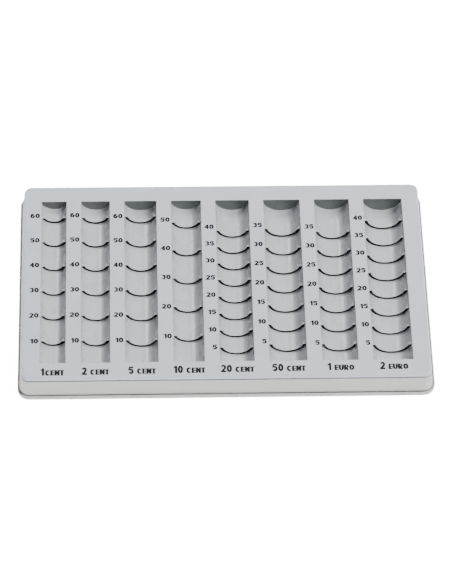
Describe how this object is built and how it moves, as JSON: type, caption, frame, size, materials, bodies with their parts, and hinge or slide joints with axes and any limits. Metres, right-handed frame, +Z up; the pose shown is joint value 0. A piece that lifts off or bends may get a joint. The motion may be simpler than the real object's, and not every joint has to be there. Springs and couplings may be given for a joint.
{
  "type": "coin counting tray",
  "caption": "Flat desktop tray with half-round channels of rising width for standing coins by value; cross ribs and a printed scale mark the counts. It lifts out of a low rimmed base pan.",
  "frame": {"origin": "middle of the footprint, on the surface that the feet stand on", "axes": "+X along the row of channels from the smallest coin to the largest, +Y from the front edge to the back edge, +Z up"},
  "size_m": [0.2818, 0.165, 0.0202],
  "materials": {
    "deck_plastic": "fine satin light bluish grey, with black printed numbers",
    "channel_plastic": "satin light grey, with black printed rib faces",
    "housing_plastic": "fine satin light neutral grey",
    "base_plastic": "satin light grey",
    "foot_rubber": "matt dark grey rubber"
  },
  "bodies": {
    "base": {"base_pan": "base_plastic", "foot_front_left": "foot_rubber", "foot_front_right": "foot_rubber", "foot_back_left": "foot_rubber", "foot_back_right": "foot_rubber"},
    "tray": {"housing_frame": "housing_plastic", "deck_plate": "deck_plastic", "channel_1_cent": "channel_plastic", "channel_2_cent": "channel_plastic", "channel_5_cent": "channel_plastic", "channel_10_cent": "channel_plastic", "channel_20_cent": "channel_plastic", "channel_50_cent": "channel_plastic", "channel_1_euro": "channel_plastic", "channel_2_euro": "channel_plastic"}
  },
  "joints": [
    {"name": "tray_lift", "type": "slide", "parent": "base", "child": "tray", "axis": [0, 0, 1], "range_m": [0, 0.03]}
  ]
}
